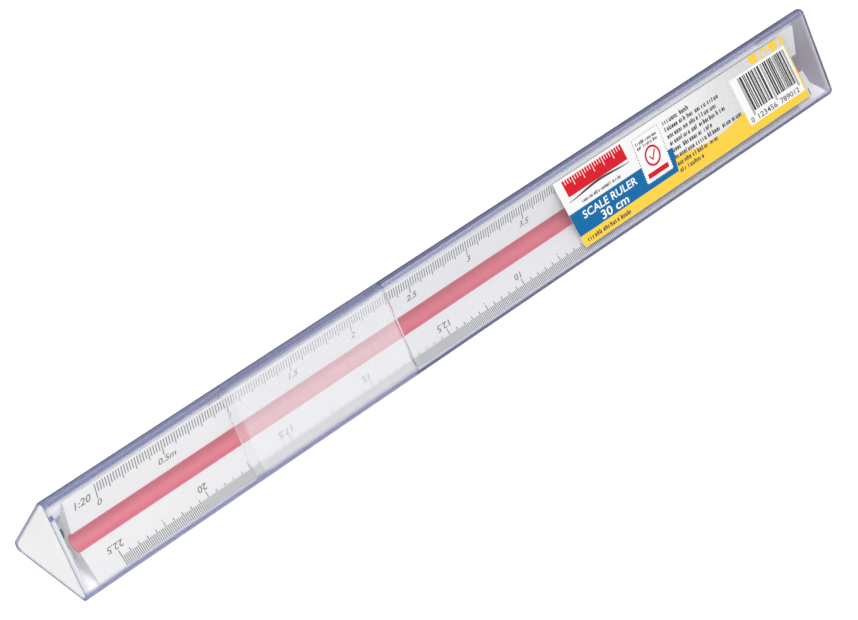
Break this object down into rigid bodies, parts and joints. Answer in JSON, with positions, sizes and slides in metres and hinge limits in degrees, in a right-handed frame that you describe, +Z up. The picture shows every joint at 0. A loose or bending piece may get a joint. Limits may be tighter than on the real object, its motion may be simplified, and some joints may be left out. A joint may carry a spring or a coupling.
{
  "type": "triangular scale ruler",
  "caption": "Triangular scale ruler with coloured half-round grooves, in a clear two-part triangular case that pulls apart along its length.",
  "frame": {"origin": "middle of the flat base that the case rests on", "axes": "+X along the length, from the short half of the case to the long half; +Z up; the labelled front face looks towards -Y and up"},
  "size_m": [0.334, 0.0322, 0.0285],
  "materials": {
    "clear_case": "clear, polished polystyrene with a faint violet edge tint",
    "end_plate": "fine matt",
    "label_film": "printed self-adhesive film",
    "ruler_white": "satin moulded plastic with printed scales",
    "groove_red": "satin",
    "groove_green": "satin",
    "groove_blue": "satin"
  },
  "bodies": {
    "ruler": {"ruler_body": "ruler_white", "groove_lining_red": "groove_red", "groove_lining_green": "groove_green", "groove_lining_blue": "groove_blue"},
    "cap": {"case_cap": "clear_case", "cap_end_plate": "end_plate"},
    "tube": {"case_tube": "clear_case", "tube_end_plate": "end_plate", "case_label": "label_film"}
  },
  "joints": [
    {"name": "cap_slide", "type": "slide", "parent": "ruler", "child": "cap", "axis": [-1, 0, 0], "range_m": [0, 0.13]},
    {"name": "tube_slide", "type": "slide", "parent": "ruler", "child": "tube", "axis": [1, 0, 0], "range_m": [0, 0.265]}
  ]
}
